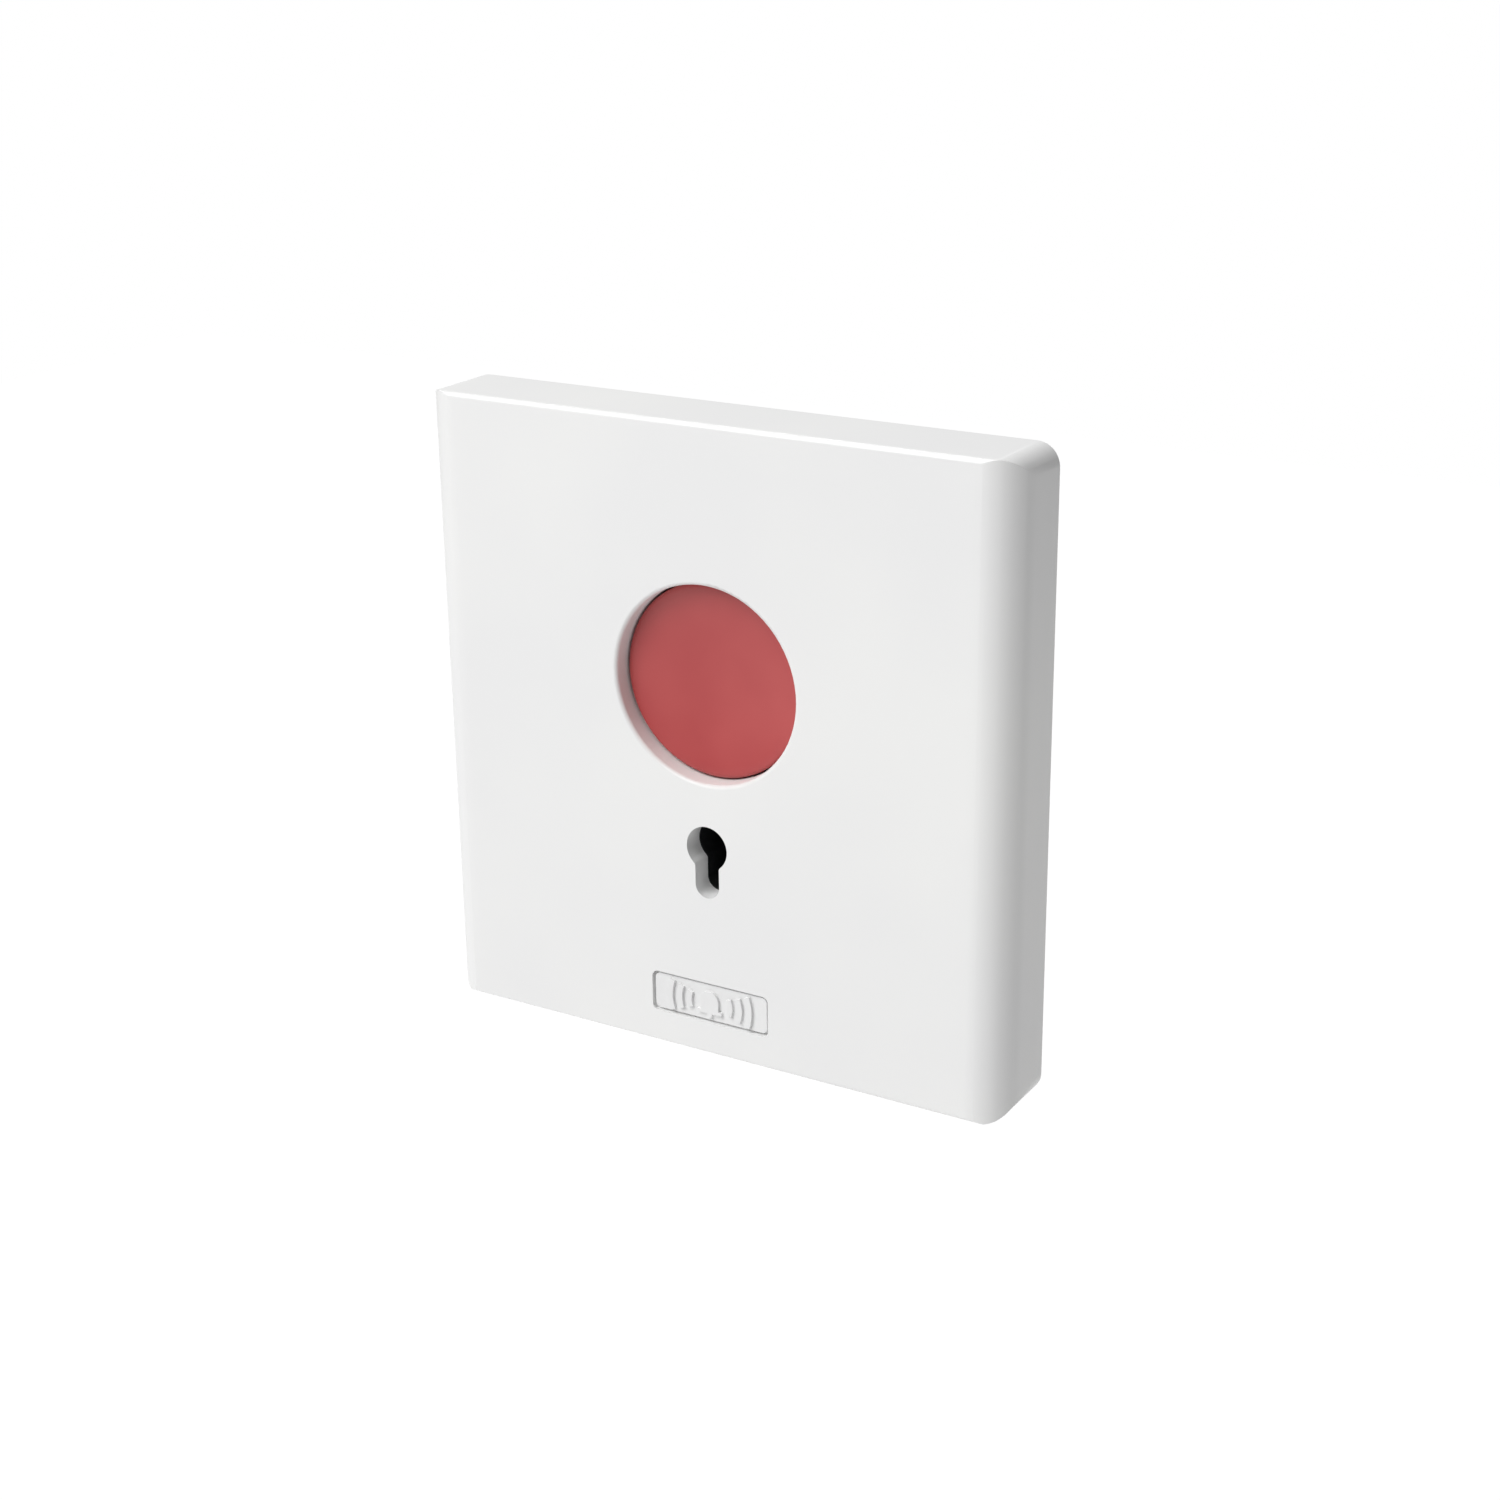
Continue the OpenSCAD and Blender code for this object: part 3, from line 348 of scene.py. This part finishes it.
def buildSpring(look):
    # closed and ground ends: the first and last turns lie flat and are cut off square
    low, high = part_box(look["node"])
    axis = look["axis"]
    along = 1 if axis.y else 2
    wire = look["wire"] * mm
    middle = (low + high) / 2
    radius = (high.x - low.x) / 2 - wire / 2
    start = middle.copy()
    start[along] = low[along] + wire * groundShare
    length = high[along] - low[along] - 2 * wire * groundShare
    steps = look["steps"]
    bm = bmesh.new()
    ring = bmesh.ops.create_circle(bm, cap_ends=True, segments=look["sides"], radius=wire / 2)["verts"]
    if along == 2:
        bmesh.ops.rotate(bm, verts=ring, cent=(0, 0, 0), matrix=Matrix.Rotation(math.pi / 2, 3, "X"))
    bmesh.ops.translate(bm, verts=ring, vec=start + Vector((radius, 0, 0)))
    firstFace = bm.faces[:]
    dead = wire * deadPitch
    active = look["turns"] - 2
    climb = (length - 2 * dead) / active
    tip = firstFace + list({e for f in firstFace for e in f.edges}) + list(ring)
    for turns, rise in ((1, dead), (active, climb), (1, dead)):
        count = round(steps * turns)
        tip = bmesh.ops.spin(bm, geom=tip, cent=start, axis=axis, dvec=axis * (rise / steps),
                             angle=math.tau * turns, steps=count)["geom_last"]
    for place, side in ((low, -1), (high, 1)):
        everything = bm.verts[:] + bm.edges[:] + bm.faces[:]
        bmesh.ops.bisect_plane(bm, geom=everything, plane_co=place, plane_no=axis * side, clear_outer=True)
        bmesh.ops.holes_fill(bm, edges=[e for e in bm.edges if e.is_boundary], sides=0)
    bmesh.ops.recalc_face_normals(bm, faces=bm.faces)
    spring = finishPiece(look["name"], bm, look, [look["node"]], sharpAngle=40)
    # the place of the held end on its seat is worked out here, and nothing uses it
    anchor = middle.copy()
    anchor[along] = (high if look["held"] == "high" else low)[along]
    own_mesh(spring)


for look in springLook.values():
    buildSpring(look)
print("springs wound:", len(springLook))


screwLook = {
    "housing": {"name": "housingScrews", "node": "housing_screws", "material": zincSteel, "slot": "zinc_screw",
                "side": -1, "shank": 1.0, "head": 2.1, "headHeight": 1.3, "pitch": 0.7, "cross": 2.5},
    "rear": {"name": "rearCoverScrews", "node": "rear_cover_screws", "material": zincSteel,
             "slot": "zinc_screw", "side": 1, "shank": 1.0, "head": 2.1, "headHeight": 1.3,
             "pitch": 0.7, "cross": 2.5},
    "terminal": {"name": "terminalScrews", "node": "terminal_screws", "material": turnedBrass,
                 "slot": "terminal_brass", "side": 1, "shank": 1.45, "head": 2.7, "headHeight": 1.8,
                 "pitch": 0.5, "cross": 3.4},
}
screwSteps, threadSteps = 40, 20
# shares of the cross width, of the head's height and of the floor's size against the mouth
crossArm, crossDepth, crossTaper = 0.115, 0.52, 0.62
# shares of the shank that is threaded and of the pitch that a ridge takes
threadShare, threadRidge = 0.86, 0.42


def addScrew(bm, x, z, low, high, look):
    # a pan head, a cross recess, a shank with a rolled thread and a short point
    side = look["side"]
    top = high if side > 0 else low
    tip = low if side > 0 else high
    seat = top - side * look["headHeight"] * mm
    head, shank = look["head"] * mm, look["shank"] * mm
    rise = look["headHeight"] * mm * side
    profile = [
        (0, tip), (shank * 0.55, tip), (shank * 0.88, tip - (tip - seat) * 0.1), (shank * 0.88, seat),
        (head * 0.96, seat), (head, seat + rise * 0.06), (head, seat + rise * 0.42),
        (head * 0.96, seat + rise * 0.62), (head * 0.84, seat + rise * 0.82), (head * 0.64, seat + rise * 0.94),
        (head * 0.35, seat + rise * 0.99), (0, seat + rise),
    ]
    before = set(bm.faces)
    spinRound(bm, profile, (x, z), screwSteps)
    bmesh.ops.remove_doubles(bm, verts=bm.verts, dist=weld / 2)
    made = [f for f in bm.faces if f not in before]
    bmesh.ops.recalc_face_normals(bm, faces=made)
    bm.normal_update()
    wide, narrow = look["cross"] / 2 * mm, look["cross"] * crossArm * mm
    crown = [f for f in made if f.normal.y * side > 0.3 and (f.calc_center_median().y - seat) * side > 0]
    for direction in (Vector((1, 0, 0)), Vector((0, 0, 1))):
        for offset in (-wide, -narrow, narrow, wide):
            place = Vector((x, 0, z)) + direction * offset
            geom = crown + list({e for f in crown for e in f.edges}) + list({v for f in crown for v in f.verts})
            cut = bmesh.ops.bisect_plane(bm, geom=geom, plane_co=place, plane_no=direction, dist=0.0005 * mm)
            crown = [g for g in cut["geom"] if isinstance(g, bmesh.types.BMFace)]
    cross = []
    for face in crown:
        middle = face.calc_center_median()
        offX, offZ = abs(middle.x - x), abs(middle.z - z)
        if (offX < narrow and offZ < wide) or (offZ < narrow and offX < wide):
            cross.append(face)
    sunk = bmesh.ops.extrude_face_region(bm, geom=cross)["geom"]
    bmesh.ops.delete(bm, geom=cross, context="FACES")
    floorVerts = [g for g in sunk if isinstance(g, bmesh.types.BMVert)]
    bmesh.ops.translate(bm, verts=floorVerts, vec=(0, -rise * crossDepth, 0))
    toAxis = Matrix.Translation((-x, 0, -z))
    bmesh.ops.scale(bm, verts=floorVerts, vec=(crossTaper, 1, crossTaper), space=toAxis)
    # the thread is a ridge swept round the shank
    pitch = look["pitch"] * mm
    turns = int((abs(tip - seat) * threadShare) / pitch)
    ridge = bmesh.ops.create_circle(bm, cap_ends=True, segments=3, radius=pitch * threadRidge)["verts"]
    bmesh.ops.rotate(bm, verts=ridge, cent=(0, 0, 0), matrix=Matrix.Rotation(math.radians(-90), 3, "Z"))
    bmesh.ops.translate(bm, verts=ridge, vec=(x + shank - pitch * threadRidge, seat - side * pitch * 0.6, z))
    faces = list({f for v in ridge for f in v.link_faces})
    geom = faces + list({e for f in faces for e in f.edges}) + list(ridge)
    before = set(bm.faces) - set(faces)
    bmesh.ops.spin(bm, geom=geom, cent=(x, 0, z), axis=(0, 1, 0), dvec=(0, -side * pitch / threadSteps, 0),
                   angle=math.tau * turns, steps=threadSteps * turns)
    bmesh.ops.recalc_face_normals(bm, faces=[f for f in bm.faces if f not in before])


def buildScrews(look):
    low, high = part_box(look["node"])
    head = look["head"] * mm
    bm = bmesh.new()
    if look["node"] == "terminal_screws":
        places = [(x, (low.z + high.z) / 2) for x in (low.x + head, (low.x + high.x) / 2, high.x - head)]
    else:
        places = [(x, z) for x in (low.x + head, high.x - head) for z in (low.z + head, high.z - head)]
    for x, z in places:
        addScrew(bm, x, z, low.y, high.y, look)
    finishPiece(look["name"], bm, dict(look, body="chassis"), [look["node"]], sharpAngle=38)


for look in screwLook.values():
    buildScrews(look)
print("screws turned:", len(screwLook))


leafLook = {
    "material": leafBronze, "slot": "leaf_bronze", "body": None, "thickness": 0.3, "segments": 60,
    "dimpleRadius": 0.8, "dimpleZ": 9.0, "dimpleOffset": 0.28, "cornerRadius": 0.5,
    "clampedZ": 22.8, "freeZ": 17.5,
}


def buildLeaf():
    # one strip of springy bronze, which the plunger bends in the real switch; here it is built straight, cut
    # into slices along its length, with a pressed dimple where it rubs
    look = leafLook
    low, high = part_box("contact_leaf")
    thick = look["thickness"] * mm
    middleY = (low.y + high.y) / 2
    bm = bmesh.new()
    bmesh.ops.create_cube(bm, size=1.0)
    bmesh.ops.scale(bm, verts=bm.verts, vec=(thick, high.y - low.y, high.z - low.z))
    bmesh.ops.translate(bm, verts=bm.verts, vec=(low.x + thick / 2, middleY, (low.z + high.z) / 2))
    corners = [e for e in bm.edges if abs(e.verts[0].co.x - e.verts[1].co.x) > thick / 2]
    bmesh.ops.bevel(bm, geom=corners, offset=look["cornerRadius"] * mm, offset_type="OFFSET", affect="EDGES",
                    segments=4, profile=0.5, material=-1)
    for i in range(1, look["segments"]):
        z = low.z + (high.z - low.z) * i / look["segments"]
        everything = bm.verts[:] + bm.edges[:] + bm.faces[:]
        bmesh.ops.bisect_plane(bm, geom=everything, plane_co=(0, 0, z), plane_no=(0, 0, 1))
    radius = look["dimpleRadius"] * mm
    dimple = bmesh.ops.create_uvsphere(bm, u_segments=20, v_segments=12, radius=radius)["verts"]
    bmesh.ops.scale(bm, verts=dimple, vec=((high.x - low.x - thick) / radius, 0.95, 0.95))
    bmesh.ops.delete(bm, geom=[v for v in dimple if v.co.x < -0.001 * mm], context="VERTS")
    bmesh.ops.holes_fill(bm, edges=[e for e in bm.edges if e.is_boundary], sides=0)
    bmesh.ops.translate(bm, verts=[v for v in dimple if v.is_valid],
                        vec=(low.x + thick * 0.8, middleY + look["dimpleOffset"] * mm, look["dimpleZ"] * mm))
    bmesh.ops.recalc_face_normals(bm, faces=bm.faces)
    leaf = finishPiece("contactLeaf", bm, look, ["contact_leaf"], sharpAngle=35)
    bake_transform(leaf)


buildLeaf()
print("leaf made")


stageLook = {"floorDrop": 0.30, "floorSize": 3.0, "floorBase": "#272727",
             "floorColour": "#FFFFFF", "floorGlow": 1.0}
lightLook = {
    "surround": 0.105, "backdrop": 1.0,
    "key": {"at": (-0.39, -0.81, 0.95), "size": 0.8, "watts": 16.3},
    "top": {"at": (-0.15, 0.45, 1.15), "size": 0.8, "watts": 6.4},
}
cameraLook = {
    "azimuth": 31.13, "elevation": 20.28, "roll": -0.71, "distance": 338.7 * mm,
    "target": (-0.48 * mm, 0.0, -3.46 * mm), "lens": 61.4, "sensor": 36.0,
}


def buildStage():
    floorMesh = bpy.data.meshes.new("floor")
    bm = bmesh.new()
    bmesh.ops.create_grid(bm, x_segments=1, y_segments=1, size=stageLook["floorSize"] / 2)
    bmesh.ops.translate(bm, verts=bm.verts, vec=(0, 0, cadLow.z - stageLook["floorDrop"]))
    bm.to_mesh(floorMesh)
    bm.free()
    floor = bpy.data.objects.new("floor", floorMesh)
    bpy.context.scene.collection.objects.link(floor)
    material, tree, coords = startMaterial("floorPaper")
    shader = addNode(tree, "ShaderNodeBsdfPrincipled", {
        "Base Color": linear(stageLook["floorBase"]), "Roughness": 0.9,
        "Emission Color": linear(stageLook["floorColour"]), "Emission Strength": stageLook["floorGlow"]})
    finishMaterial(tree, shader)
    floorMesh.materials.append(material)


def buildLight():
    world = bpy.data.worlds.new("studio")
    world.use_nodes = True
    tree = world.node_tree
    tree.nodes.clear()
    # the room is dim so that the lamps shape the object, and the backdrop itself is white
    rays = addNode(tree, "ShaderNodeLightPath")
    strength = addNode(tree, "ShaderNodeMapRange", {
        "Value": rays.outputs["Is Camera Ray"],
        "To Min": lightLook["surround"], "To Max": lightLook["backdrop"]})
    glow = addNode(tree, "ShaderNodeBackground", {
        "Color": (1, 1, 1, 1), "Strength": strength.outputs["Result"]})
    addNode(tree, "ShaderNodeOutputWorld", {"Surface": glow.outputs["Background"]})
    bpy.context.scene.world = world
    for name in ("key", "top"):
        look = lightLook[name]
        data = bpy.data.lights.new(name, "AREA")
        data.shape = "SQUARE"
        data.size = look["size"]
        data.energy = look["watts"]
        lamp = bpy.data.objects.new(name, data)
        lamp.location = look["at"]
        lamp.rotation_mode = "QUATERNION"
        lamp.rotation_quaternion = (-Vector(look["at"])).to_track_quat("-Z", "Y")
        bpy.context.scene.collection.objects.link(lamp)


def buildCamera():
    azimuth = math.radians(cameraLook["azimuth"])
    elevation = math.radians(cameraLook["elevation"])
    back = Vector((math.sin(azimuth) * math.cos(elevation), -math.cos(azimuth) * math.cos(elevation),
                   math.sin(elevation)))
    data = bpy.data.cameras.new("camera")
    data.sensor_width = cameraLook["sensor"]
    data.lens = cameraLook["lens"]
    data.clip_start = 0.01
    data.clip_end = 20.0
    camera = bpy.data.objects.new("camera", data)
    camera.location = Vector(cameraLook["target"]) + back * cameraLook["distance"]
    camera.rotation_mode = "QUATERNION"
    level = (-back).to_track_quat("-Z", "Y")
    camera.rotation_quaternion = level @ Euler((0, 0, math.radians(cameraLook["roll"]))).to_quaternion()
    bpy.context.scene.collection.objects.link(camera)
    bpy.context.scene.camera = camera


buildStage()
buildLight()
buildCamera()
bpy.context.scene.view_settings.view_transform = "Standard"
print("stage, light and camera set")
